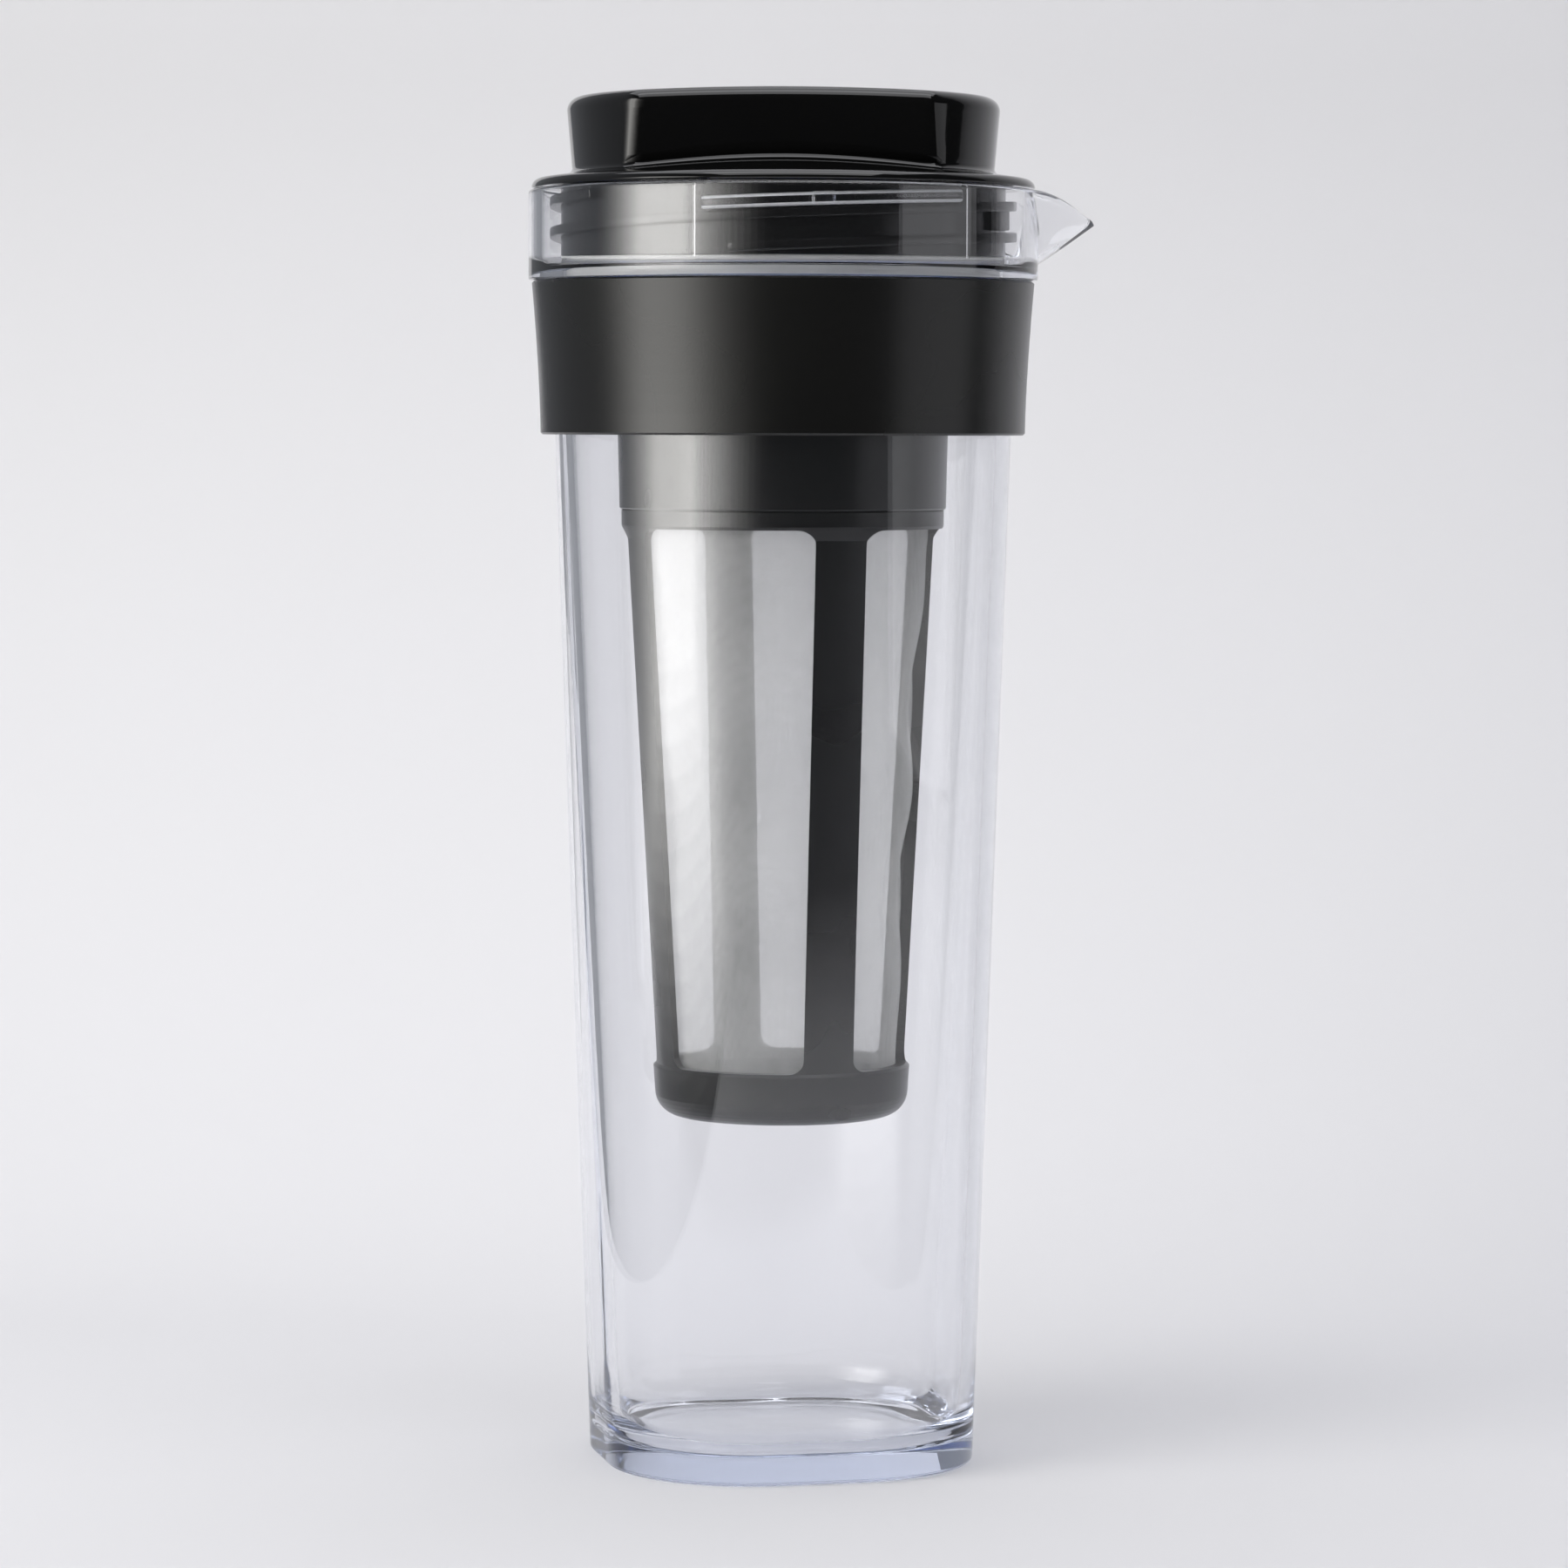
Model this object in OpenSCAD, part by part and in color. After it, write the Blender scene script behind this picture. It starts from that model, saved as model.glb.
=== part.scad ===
// Cold brew coffee pitcher: a clear tapered jug with a pouring neck, a grip band,
// a screw lid with a two-flat knob, and a mesh filter basket that hangs under the lid.
// Millimetres, +Z up, origin at the centre of the base, spout towards +X.

/* [Jug] */
// Height of the shoulder, where the grip band ends and the neck begins
shoulder_z = 232; // [215:0.2:250]
// Half width of the base across its flats
base_half = 36.4; // [33:0.2:40]
// Corner radius of the base
base_corner_r = 28.4; // [20:0.2:32]
// Thickness of the jug's wall
wall = 3; // [2.4:0.1:3.6]
// Thickness of the solid floor
floor_t = 4.8; // [4:0.2:12]
// Radius where the inner wall runs into the floor
floor_round = 7; // [2:0.2:8]
// Rounding of the foot's outer edge
foot_round = 1; // [0.4:0.1:2]

/* [Neck and spout] */
// Outer radius of the neck
neck_r = 50; // [45:0.1:55]
// How far the neck stands out beyond the jug's shoulder
shoulder_step = 4.2; // [3.5:0.1:6]
// Thickness of the neck's wall
neck_wall = 2.6; // [1.8:0.1:3]
// Thickness of the shelf that the lid seals on
shelf_t = 2.4; // [2:0.1:5]
// Height of the neck above the shelf
neck_h = 15.4; // [13:0.2:22]
// Rounding of the neck's rim
rim_round = 0.6; // [0.2:0.1:0.8]
// How far the spout's tip stands out from the neck
spout_reach = 13.4; // [9:0.1:18]
// Half angle of the neck that the spout's mouth takes up
spout_half_angle = 26.5; // [18:0.5:34]
// How far the spout's mouth lies below the rim
spout_drop = 4.6; // [3:0.2:8]
// Depth of the spout where it leaves the neck
spout_depth = 15.2; // [11:0.2:15.4]
// Thickness of the spout's wall
spout_wall = 1.6; // [1.2:0.1:2.4]
// Half width of the spout's tip
spout_tip_w = 2.2; // [1.5:0.1:4]

/* [Grip band] */
// Height of the band
band_h = 30; // [20:0.2:40]
// Thickness of the band at its lower edge
band_low_t = 2.6; // [2:0.1:4]
// Thickness of the band at its upper edge
band_high_t = 3.5; // [2:0.1:4]
// Height of the bead that holds the band
bead_h = 2; // [1:0.1:4]

/* [Lid] */
// How far the lid's flange stays inside the neck's outline
flange_inset = 0.6; // [0:0.1:2]
// Thickness of the flange at its edge
flange_t = 1.9; // [1.5:0.1:3]
// Rise of the flange's top from its edge to the axis
flange_rise = 7.2; // [4:0.1:8]
// Height of the knob above the flange's underside
knob_h = 19.2; // [16:0.1:26]
// How far the knob's foot stays inside the flange's edge
knob_step = 8.3; // [6:0.1:10]
// How far the knob widens from its foot to its top edge
knob_flare = 1.3; // [0.5:0.1:3]
// Rounding of the knob's top edge
knob_round = 2.6; // [1:0.1:4]
// Rise of the knob's domed top
knob_dome = 1.5; // [0.5:0.1:3]
// How deep each finger flat cuts into the knob, at the flange's underside
flat_depth = 12.8; // [9:0.1:15]
// How far each finger flat leans out from there to the knob's top
flat_lean = 4; // [2:0.1:6]
// Thickness of the lid's shell
lid_shell = 2.2; // [1.6:0.1:2.6]
// Turn of the knob's flats from the spout's side, when closed
lid_angle = -13; // [-45:1:45]
// Room between the plug and the neck for the threads
thread_room = 3.8; // [2:0.1:4.4]
// Thickness of the plug's wall and of its bottom plate
plug_wall = 2; // [1.5:0.1:2.5]
// Thickness of the lid's silicone seal
seal_t = 1.4; // [1:0.1:2.5]
// Thickness of the seal's skirt, which hangs inside the jug's bore
skirt_t = 1.7; // [1:0.1:2.5]
// Height of the seal's skirt
skirt_h = 2.6; // [1.5:0.1:4]

/* [Filter] */
// Gap that lets coffee past, between the filter's collar and the jug's bore
collar_room = 9.6; // [9:0.1:12]
// How far the collar narrows from its top to its lower edge
collar_taper = 1; // [0.4:0.1:2]
// Height of the collar
collar_h = 47.3; // [30:0.1:60]
// Thickness of the collar's wall
collar_t = 1.8; // [1.4:0.1:2.4]
// Depth of the socket that takes the collar
socket_h = 5.6; // [4:0.2:9]
// Height of the basket below the collar
basket_h = 119.5; // [90:0.2:150]
// How far the basket's ribs stay inside the collar, at the top
basket_inset = 1.4; // [1:0.1:2]
// How far the basket narrows from its top to its bottom
basket_taper = 5.9; // [3:0.1:9]
// Thickness of the basket's ribs
rib_t = 2; // [1.5:0.1:2.6]
// Width of a rib
rib_w = 10.4; // [7:0.1:14]
// Number of ribs
rib_count = 4; // [3:1:6]
// Height of the rim at the basket's top
rim_h = 3.7; // [3:0.1:8]
// Height of the basket's closed cup
cup_h = 10.4; // [8:0.1:16]
// Corner radius of the windows
window_round = 2.6; // [1:0.1:4]
// Turn of the first rib from the spout's side
basket_angle = 8.5; // [-45:0.5:45]
// Thickness of the mesh sleeve
mesh_t = 0.5; // [0.3:0.1:0.8]
// Thickness of the filter's silicone seal
filter_seal_t = 1; // [0.6:0.1:2]

/* [Fits] */
// Clearance between pieces that slide or turn against each other
running_gap = 0.3; // [0.15:0.05:0.4]
// Clearance between pieces that are pressed together
press_gap = 0.08; // [0.02:0.01:0.12]
// Clearance under the lid's seal
seal_gap = 0.1; // [0.05:0.05:0.2]

/* [Hidden] */
$fn = 96;
layer_t = 0.01;
overcut = 1;

// Levels, from the base up
shelf_z = shoulder_z + shelf_t;
neck_top = shelf_z + neck_h;
band_z = shoulder_z - band_h;
flange_z = neck_top + running_gap;
knob_top = flange_z + knob_h;
seal_z = shelf_z + seal_gap;
plug_z = seal_z + seal_t;
filter_seal_z = plug_z - seal_gap - filter_seal_t;
collar_z = filter_seal_z - collar_h;
basket_z = collar_z - basket_h;

// Radii that follow from the sizes above
shoulder_r = neck_r - shoulder_step;
bore_r = shoulder_r - wall;
neck_bore_r = neck_r - neck_wall;
seat_bore_r = bore_r + running_gap;
flange_r = neck_r - flange_inset;
knob_low_r = flange_r - knob_step;
knob_high_r = knob_low_r + knob_flare;
flat_low = knob_low_r - flat_depth;
flat_high = flat_low + flat_lean;
plug_r = neck_bore_r - thread_room;
skirt_r = bore_r - running_gap;
seal_bore_r = skirt_r - skirt_t;
lip_t = 2;
lip_h = seal_t + skirt_h / 2;
collar_high_r = bore_r - collar_room;
collar_low_r = collar_high_r - collar_taper;
basket_high_r = collar_low_r - basket_inset;
basket_low_r = basket_high_r - basket_taper;
register_r = knob_low_r - lid_shell - running_gap;
register_h = 1;
socket_r = collar_high_r + running_gap;
rim_r = collar_low_r - 0.4;
cup_r = basket_low_r + 0.6;
cup_round = 5;
mesh_ledge = mesh_t + 2 * press_gap;
spigot_h = 5;
edge_break = 0.3;

// Half width and corner radius of the jug's outside at a height
function jug_half(z) = base_half + (shoulder_r - base_half) * z / shoulder_z;
function jug_corner(z) = base_corner_r + (shoulder_r - base_corner_r) * z / shoulder_z;
function jug_reach(z) = (jug_half(z) - jug_corner(z)) * sqrt(2) + jug_corner(z);

// Points of an arc, for profiles
function arc(centre, r, from, to, steps = 8) =
    [for (i = [0 : steps]) centre + r * [cos(from + (to - from) * i / steps),
        sin(from + (to - from) * i / steps)]];

// A thin slice of the jug at a height, drawn in from the outside by an inset
module jug_slice(z, inset) {
    spread = max(jug_half(z) - jug_corner(z), 0);
    translate([0, 0, z])
        for (x = [-spread, spread], y = [-spread, spread])
            translate([x, y, 0]) cylinder(r = jug_corner(z) - inset, h = layer_t, $fn = 64);
}

// Outside of the jug: a rounded square at the foot that turns into a circle at the shoulder
module jug_outside() {
    hull() {
        jug_slice(0, foot_round);
        jug_slice(foot_round * 0.3, foot_round * 0.3);
        jug_slice(foot_round, 0);
        jug_slice(shoulder_z, 0);
        translate([0, 0, shoulder_z]) cylinder(r = shoulder_r, h = shelf_t / 2, $fn = 64);
    }
}

// Inside of the jug, with the floor's rounding
module jug_inside() {
    hull() {
        for (turn = [0 : 22.5 : 90])
            jug_slice(floor_t + floor_round * (1 - cos(turn)), wall + floor_round * (1 - sin(turn)));
        jug_slice(shoulder_z, wall);
    }
    translate([0, 0, shoulder_z]) cylinder(r = seat_bore_r, h = shelf_t + overcut);
}

// Neck with the shelf at its foot
module neck() {
    rotate_extrude() polygon([
        [bore_r, shoulder_z],
        [neck_r, shoulder_z],
        [neck_r, neck_top - rim_round],
        [neck_r - rim_round, neck_top],
        [neck_bore_r + rim_round, neck_top],
        [neck_bore_r, neck_top - rim_round],
        [neck_bore_r, shelf_z + rim_round],
        [neck_bore_r - rim_round, shelf_z],
        [bore_r, shelf_z]
    ]);
}

// The spout's surface: step 0 at the neck and 1 at the tip, side -1 to 1 across the channel
spout_steps = 8;
spout_sides = 12;
rim_bend = 2;
keel_bend = 1.05;
function spout_rim_z(step) =
    neck_top - 0.6 * rim_round - (spout_drop - 0.6 * rim_round) * pow(step, rim_bend);
function spout_keel_z(step) =
    neck_top - spout_depth + (spout_depth - spout_drop - spout_wall) * pow(step, keel_bend);
function spout_point(step, side, root_r, half_angle, tip_x, tip_w, lift, rise) = let (
        root = root_r * [cos(side * half_angle), sin(side * half_angle)],
        tip = [tip_x - tip_w * side * side, tip_w * side],
        keel = spout_keel_z(step) + lift,
        rim = spout_rim_z(step) + rise,
        plan = root * (1 - step) + tip * step)
    [plan.x, plan.y, keel + (rim - keel) * pow(abs(side), 1.5)];

// A closed beak from the spout's surface, flat across its top
module beak(root_r, half_angle, tip_x, tip_w, lift, rise) {
    n = spout_steps;
    m = spout_sides;
    points = [for (i = [0 : n], j = [0 : m])
        spout_point(i / n, 2 * j / m - 1, root_r, half_angle, tip_x, tip_w, lift, rise)];
    function at(i, j) = i * (m + 1) + j;
    underside = [for (i = [0 : n - 1], j = [0 : m - 1])
        each [[at(i, j), at(i + 1, j + 1), at(i, j + 1)], [at(i, j), at(i + 1, j), at(i + 1, j + 1)]]];
    top = [for (i = [0 : n - 1])
        each [[at(i, 0), at(i, m), at(i + 1, m)], [at(i, 0), at(i + 1, m), at(i + 1, 0)]]];
    root_cap = [for (j = [1 : m - 1]) [at(0, 0), at(0, j), at(0, j + 1)]];
    tip_cap = [for (j = [1 : m - 1]) [at(n, 0), at(n, j + 1), at(n, j)]];
    polyhedron(points, concat(underside, top, root_cap, tip_cap));
}

module spout_outside() {
    beak(neck_r - neck_wall / 2, spout_half_angle, neck_r + spout_reach, spout_tip_w, 0, 0);
}

module spout_inside() {
    wall_angle = asin(1.2 * spout_wall / neck_r);
    beak(neck_bore_r - overcut, spout_half_angle - wall_angle,
        neck_r + spout_reach - 1.4 * spout_wall, 0.4 * spout_tip_w, spout_wall, spout_wall);
}

// Bead round the jug that the grip band snaps over
module band_bead(gap) {
    middle = band_z + band_h / 4;
    foot = jug_reach(middle) - wall / 2;
    crest = jug_reach(middle) + 0.8 + gap;
    rotate_extrude() polygon([
        [foot, middle - bead_h / 2 - gap],
        [crest - bead_h / 4, middle - bead_h / 2 - gap],
        [crest, middle - bead_h / 4],
        [crest, middle + bead_h / 4],
        [crest - bead_h / 4, middle + bead_h / 2 + gap],
        [foot, middle + bead_h / 2 + gap]
    ]);
}

module jug_body() {
    color([0.85, 0.9, 0.95, 0.35]) difference() {
        union() {
            jug_outside();
            band_bead(0);
            neck();
            spout_outside();
        }
        jug_inside();
        spout_inside();
    }
}

module grip_band() {
    band_low_r = jug_reach(band_z) + band_low_t;
    band_high_r = shoulder_r + band_high_t;
    flare = band_high_r - band_low_r;
    color([0.06, 0.06, 0.06]) difference() {
        rotate_extrude() polygon(concat(
            [[jug_reach(band_z) + press_gap, band_z], [band_low_r - 0.4, band_z]],
            [for (i = [0 : 8]) [band_low_r + flare * pow(i / 8, 1.5), band_z + 0.4 + (band_h - 0.8) * i / 8]],
            [[band_high_r - 0.4, shoulder_z], [shoulder_r + press_gap, shoulder_z]]));
        band_bead(press_gap);
    }
}

// A block between the knob's two sloping finger flats, drawn in by an inset
module between_flats(inset) {
    rotate([90, 0, 90]) linear_extrude(4 * flange_r, center = true) polygon([
        [inset - flat_low, flange_z - overcut],
        [flat_low - inset, flange_z - overcut],
        [flat_high - inset, knob_top + overcut],
        [inset - flat_high, knob_top + overcut]
    ]);
}

// Half profile of the knob, drawn in by an inset
module knob_profile(inset) {
    edge_z = knob_top - knob_dome - knob_round;
    top_r = knob_high_r - knob_round;
    dome_r = (pow(top_r, 2) + pow(knob_dome, 2)) / (2 * knob_dome);
    dome_turn = asin(top_r / dome_r);
    foot_z = flange_z - (inset > 0 ? overcut : 0);
    polygon(concat(
        [[0, foot_z], [knob_low_r - inset, foot_z]],
        arc([top_r, edge_z], max(knob_round - inset, 0.2), 0, 90),
        arc([0, knob_top - dome_r], dome_r - inset, 90 - dome_turn * 0.9, 90)));
}

module lid_cover() {
    crease_r = flange_r - flange_t;
    color([0.03, 0.03, 0.03]) rotate([0, 0, lid_angle]) difference() {
        union() {
            rotate_extrude() polygon(concat(
                [[0, flange_z], [flange_r, flange_z]],
                arc([crease_r, flange_z], flange_t, 0, 80, 5),
                [[0, flange_z + flange_t + flange_rise]]));
            intersection() {
                rotate_extrude() knob_profile(0);
                between_flats(0);
            }
        }
        intersection() {
            rotate_extrude() knob_profile(lid_shell);
            between_flats(lid_shell);
        }
        translate([0, 0, flange_z - overcut])
            cylinder(r = register_r + press_gap, h = register_h + press_gap + overcut);
    }
}

// Plug: outer wall, bottom plate, register for the cover, socket for the filter and lip for the seal
module lid_plug() {
    plate_top = plug_z + plug_wall;
    lip_r = seal_bore_r - press_gap;
    color([0.05, 0.05, 0.05]) rotate_extrude() polygon([
        [0, plug_z],
        [socket_r, plug_z],
        [socket_r, plug_z - socket_h],
        [socket_r + plug_wall, plug_z - socket_h],
        [socket_r + plug_wall, plug_z],
        [lip_r - lip_t, plug_z],
        [lip_r - lip_t, plug_z - lip_h],
        [lip_r, plug_z - lip_h],
        [lip_r, plug_z],
        [plug_r, plug_z],
        [plug_r, flange_z],
        [plug_r - plug_wall, flange_z],
        [plug_r - plug_wall, plate_top],
        [register_r, plate_top],
        [register_r, flange_z + register_h],
        [register_r - plug_wall, flange_z + register_h],
        [register_r - plug_wall, plate_top],
        [0, plate_top]
    ]);
}

module lid_seal() {
    edge = seal_t / 4;
    color([0.88, 0.88, 0.86]) rotate_extrude() polygon([
        [seal_bore_r, seal_z - skirt_h],
        [skirt_r - edge, seal_z - skirt_h],
        [skirt_r, seal_z - skirt_h + edge],
        [skirt_r, seal_z],
        [plug_r - edge, seal_z],
        [plug_r, seal_z + edge],
        [plug_r, plug_z - edge],
        [plug_r - edge, plug_z],
        [seal_bore_r, plug_z]
    ]);
}

module filter_seal() {
    color([0.88, 0.88, 0.86]) translate([0, 0, filter_seal_z]) difference() {
        cylinder(r = collar_high_r - 0.3, h = filter_seal_t);
        translate([0, 0, -overcut])
            cylinder(r = collar_high_r - collar_t, h = filter_seal_t + 2 * overcut);
    }
}

module filter_collar() {
    color([0.12, 0.12, 0.12]) rotate_extrude() polygon([
        [collar_low_r - collar_t, collar_z],
        [collar_low_r - edge_break, collar_z],
        [collar_low_r, collar_z + edge_break],
        [collar_high_r, filter_seal_z],
        [collar_high_r - collar_t, filter_seal_z]
    ]);
}

// Outer radius of the basket's ribs at a height
cone_top_z = collar_z - rim_h - 2;
cone_low_z = basket_z + cup_h;
function basket_r(z) = basket_low_r
    + (basket_high_r - basket_low_r) * (z - cone_low_z) / (cone_top_z - cone_low_z);

// Half width of a window between two ribs at a height
function window_half(z) = basket_r(z) * sin(180 / rib_count - asin(rib_w / 2 / basket_r(z)));

// Outline of a window: a trapezoid with round corners
module window_outline() {
    low = cone_low_z + window_round;
    high = collar_z - rim_h - window_round;
    low_x = window_half(low) - window_round;
    high_x = window_half(high) - window_round;
    polygon(concat(
        arc([low_x, low], window_round, -90, 0, 6),
        arc([high_x, high], window_round, 0, 90, 6),
        arc([-high_x, high], window_round, 90, 180, 6),
        arc([-low_x, low], window_round, 180, 270, 6)));
}

// Basket: rim and spigot at the top, ribs with windows between them, and a closed cup
module filter_frame() {
    ledge_z = cone_low_z - 2;
    floor_r = basket_r(ledge_z) - rib_t - mesh_ledge;
    spigot_r = collar_low_r - collar_t - press_gap;
    spigot_bore_r = basket_high_r - rib_t;
    color([0.15, 0.15, 0.15]) rotate([0, 0, basket_angle]) difference() {
        rotate_extrude() polygon(concat(
            [[0, basket_z]],
            arc([cup_r - 0.3 - cup_round, basket_z + cup_round], cup_round, -90, 0),
            [[cup_r, cone_low_z - 0.6], [basket_low_r, cone_low_z]],
            [[basket_high_r, cone_top_z], [rim_r, collar_z - rim_h + 0.6], [rim_r, collar_z - edge_break]],
            [[rim_r - edge_break, collar_z], [spigot_r, collar_z]],
            [[spigot_r, collar_z + spigot_h], [spigot_bore_r, collar_z + spigot_h]],
            [[spigot_bore_r, cone_top_z], [basket_r(ledge_z) - rib_t, ledge_z], [floor_r, ledge_z]],
            [[floor_r - 0.5, basket_z + rib_t + 2], [floor_r - 2.5, basket_z + rib_t]],
            [[0, basket_z + rib_t]]));
        for (i = [0 : rib_count - 1])
            rotate([0, 0, (i + 0.5) * 360 / rib_count])
                rotate([90, 0, 90]) linear_extrude(2 * rim_r) window_outline();
    }
}

// Mesh sleeve, seated on the ledge inside the basket
module filter_mesh() {
    ledge_z = cone_low_z - 2;
    low_r = basket_r(ledge_z) - rib_t - press_gap;
    high_r = basket_high_r - rib_t - press_gap;
    color([0.9, 0.9, 0.88, 0.7]) rotate_extrude() polygon([
        [low_r - mesh_t, ledge_z],
        [low_r, ledge_z],
        [high_r, cone_top_z],
        [high_r, collar_z],
        [high_r - mesh_t, collar_z],
        [high_r - mesh_t, cone_top_z]
    ]);
}

jug_body();
grip_band();
lid_cover();
lid_plug();
lid_seal();
filter_seal();
filter_collar();
filter_frame();
filter_mesh();
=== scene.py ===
import math
import bmesh
import bpy
from mathutils import Matrix, Vector


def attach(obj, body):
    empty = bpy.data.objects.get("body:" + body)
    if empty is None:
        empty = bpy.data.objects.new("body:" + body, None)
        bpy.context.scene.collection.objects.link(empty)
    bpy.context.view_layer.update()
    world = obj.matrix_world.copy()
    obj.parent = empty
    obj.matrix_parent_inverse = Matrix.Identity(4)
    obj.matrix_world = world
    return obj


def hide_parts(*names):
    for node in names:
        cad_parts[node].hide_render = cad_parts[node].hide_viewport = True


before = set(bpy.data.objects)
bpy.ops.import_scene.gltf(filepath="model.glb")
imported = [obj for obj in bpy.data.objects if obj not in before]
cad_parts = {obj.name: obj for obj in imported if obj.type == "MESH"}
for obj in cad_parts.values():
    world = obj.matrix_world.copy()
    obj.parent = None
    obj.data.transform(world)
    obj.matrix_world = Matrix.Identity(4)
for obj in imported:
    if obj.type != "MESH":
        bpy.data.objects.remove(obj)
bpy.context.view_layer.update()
print("frame loaded")

# Lengths below are in millimetres, and each mesh is brought to metres when it is finished.


class Wire:
    def __init__(self, tree, socket=None):
        self.tree = tree
        self.socket = socket

    def add(self, kind, settings=(), inputs=(), output=0):
        node = self.tree.nodes.new(kind)
        for name, value in dict(settings).items():
            setattr(node, name, value)
        for name, value in dict(inputs).items():
            if isinstance(value, Wire):
                self.tree.links.new(value.socket, node.inputs[name])
            else:
                node.inputs[name].default_value = value
        return Wire(self.tree, node.outputs[output] if len(node.outputs) else None)

    def math(self, operation, first, second=0.0, clamp=False):
        settings = {"operation": operation, "use_clamp": clamp}
        return self.add("ShaderNodeMath", settings, {0: first, 1: second})

    def __add__(self, other):
        return self.math("ADD", self, other)

    def __radd__(self, other):
        return self.math("ADD", other, self)

    def __sub__(self, other):
        return self.math("SUBTRACT", self, other)

    def __rsub__(self, other):
        return self.math("SUBTRACT", other, self)

    def __mul__(self, other):
        return self.math("MULTIPLY", self, other)

    def __rmul__(self, other):
        return self.math("MULTIPLY", other, self)

    def __truediv__(self, other):
        return self.math("DIVIDE", self, other)

    def __rtruediv__(self, other):
        return self.math("DIVIDE", other, self)

    def __pow__(self, other):
        return self.math("POWER", self, other)

    def __rpow__(self, other):
        return self.math("POWER", other, self)


def mix(low, high, share):
    return low + (high - low) * share


def newMaterial(name):
    material = bpy.data.materials.new(name)
    material.use_nodes = True
    material.node_tree.nodes.clear()
    return material, Wire(material.node_tree)


def noise(wire, where, scale, detail=2.0):
    inputs = {"Vector": where, "Scale": scale, "Detail": detail}
    return wire.add("ShaderNodeTexNoise", {}, inputs, "Fac")


def closeMaterial(wire, shader, inside=None):
    sockets = {"Surface": shader}
    if inside:
        sockets["Volume"] = inside
    wire.add("ShaderNodeOutputMaterial", {}, sockets)


grainDepth = 0.0004  # metres
rippleDepth = 0.001


# Moulded black plastic: a base colour, a gloss that drifts, and a fine grain.
def blackPlastic(name, look):
    material, wire = newMaterial(name)
    where = wire.add("ShaderNodeTexCoord", {}, {}, "Object")
    drift = noise(wire, where, look["driftScale"])
    grain = noise(wire, where, look["grainScale"], 3.0)
    ramp = wire.add("ShaderNodeMix", {"data_type": "RGBA"},
                    {"Factor": drift, "A": look["dark"], "B": look["light"]}, "Result")
    bump = wire.add("ShaderNodeBump", {},
                    {"Strength": look["grain"], "Distance": grainDepth, "Height": grain})
    shader = wire.add("ShaderNodeBsdfPrincipled", {}, {
        "Base Color": ramp,
        "Roughness": look["rough"] + (drift - 0.5) * look["roughDrift"],
        "IOR": look["ior"],
        "Normal": bump,
    })
    closeMaterial(wire, shader)
    return material


lidLook = {"dark": (0.002, 0.002, 0.002, 1), "light": (0.004, 0.004, 0.004, 1), "rough": 0.07,
           "roughDrift": 0.04, "grain": 0.01, "driftScale": 30.0, "grainScale": 900.0, "ior": 1.5}
bandLook = {"dark": (0.004, 0.004, 0.004, 1), "light": (0.007, 0.007, 0.006, 1), "rough": 0.27,
            "roughDrift": 0.05, "grain": 0.03, "driftScale": 25.0, "grainScale": 2200.0, "ior": 1.5}
plugLook = {"dark": (0.004, 0.004, 0.004, 1), "light": (0.008, 0.008, 0.008, 1), "rough": 0.2,
            "roughDrift": 0.08, "grain": 0.03, "driftScale": 40.0, "grainScale": 1200.0, "ior": 1.5}
filterLook = {"dark": (0.009, 0.009, 0.009, 1), "light": (0.015, 0.015, 0.015, 1), "rough": 0.28,
              "roughDrift": 0.08, "grain": 0.002, "driftScale": 28.0, "grainScale": 1600.0, "ior": 1.5}
lidBlack = blackPlastic("lidBlack", lidLook)
bandBlack = blackPlastic("bandBlack", bandLook)
plugBlack = blackPlastic("plugBlack", plugLook)
filterBlack = blackPlastic("filterBlack", filterLook)


# Clear polished plastic: lamps shine straight through it, everything else bends.
def clearMaterial(look):
    material, wire = newMaterial("clearPlastic")
    where = wire.add("ShaderNodeTexCoord", {}, {}, "Object")
    smudge = noise(wire, where, look["smudgeScale"], 3.0)
    ripple = noise(wire, where, look["rippleScale"], 1.0)
    bump = wire.add("ShaderNodeBump", {},
                    {"Strength": look["ripple"], "Distance": rippleDepth, "Height": ripple})
    glass = wire.add("ShaderNodeBsdfPrincipled", {}, {
        "Base Color": look["tint"],
        "Roughness": look["rough"] * smudge,
        "IOR": look["ior"],
        "Transmission Weight": 1.0,
        "Normal": bump,
    })
    seen = wire.add("ShaderNodeBsdfTransparent", {}, {"Color": look["shade"]})
    shadow = wire.add("ShaderNodeLightPath", {}, {}, "Is Shadow Ray")
    depth = wire.add("ShaderNodeVolumeAbsorption", {},
                     {"Color": look["depthTint"], "Density": look["depth"]})
    closeMaterial(wire, wire.add("ShaderNodeMixShader", {}, {0: shadow, 1: glass, 2: seen}), depth)
    return material


clearLook = {"tint": (0.985, 0.985, 0.993, 1), "shade": (0.995, 0.995, 0.997, 1), "rough": 0.03,
             "ior": 1.55, "smudgeScale": 45.0, "rippleScale": 60.0, "ripple": 0.006,
             "depthTint": (0.1, 0.26, 0.62, 1), "depth": 7.0}
clearPlastic = clearMaterial(clearLook)


# The same plastic made pale and rough: a painted highlight for the bright lines that light draws along the
# neck ribs' top and bottom faces.
def ribHighlightMaterial(look):
    material, wire = newMaterial("ribHighlightPlastic")
    where = wire.add("ShaderNodeTexCoord", {}, {}, "Object")
    scuff = noise(wire, where, look["scuffScale"], 4.0)
    shader = wire.add("ShaderNodeBsdfPrincipled", {}, {
        "Base Color": look["colour"],
        "Roughness": look["rough"] + scuff * look["scuff"],
        "IOR": look["ior"],
        "Transmission Weight": look["through"],
    })
    closeMaterial(wire, shader)
    return material


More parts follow.
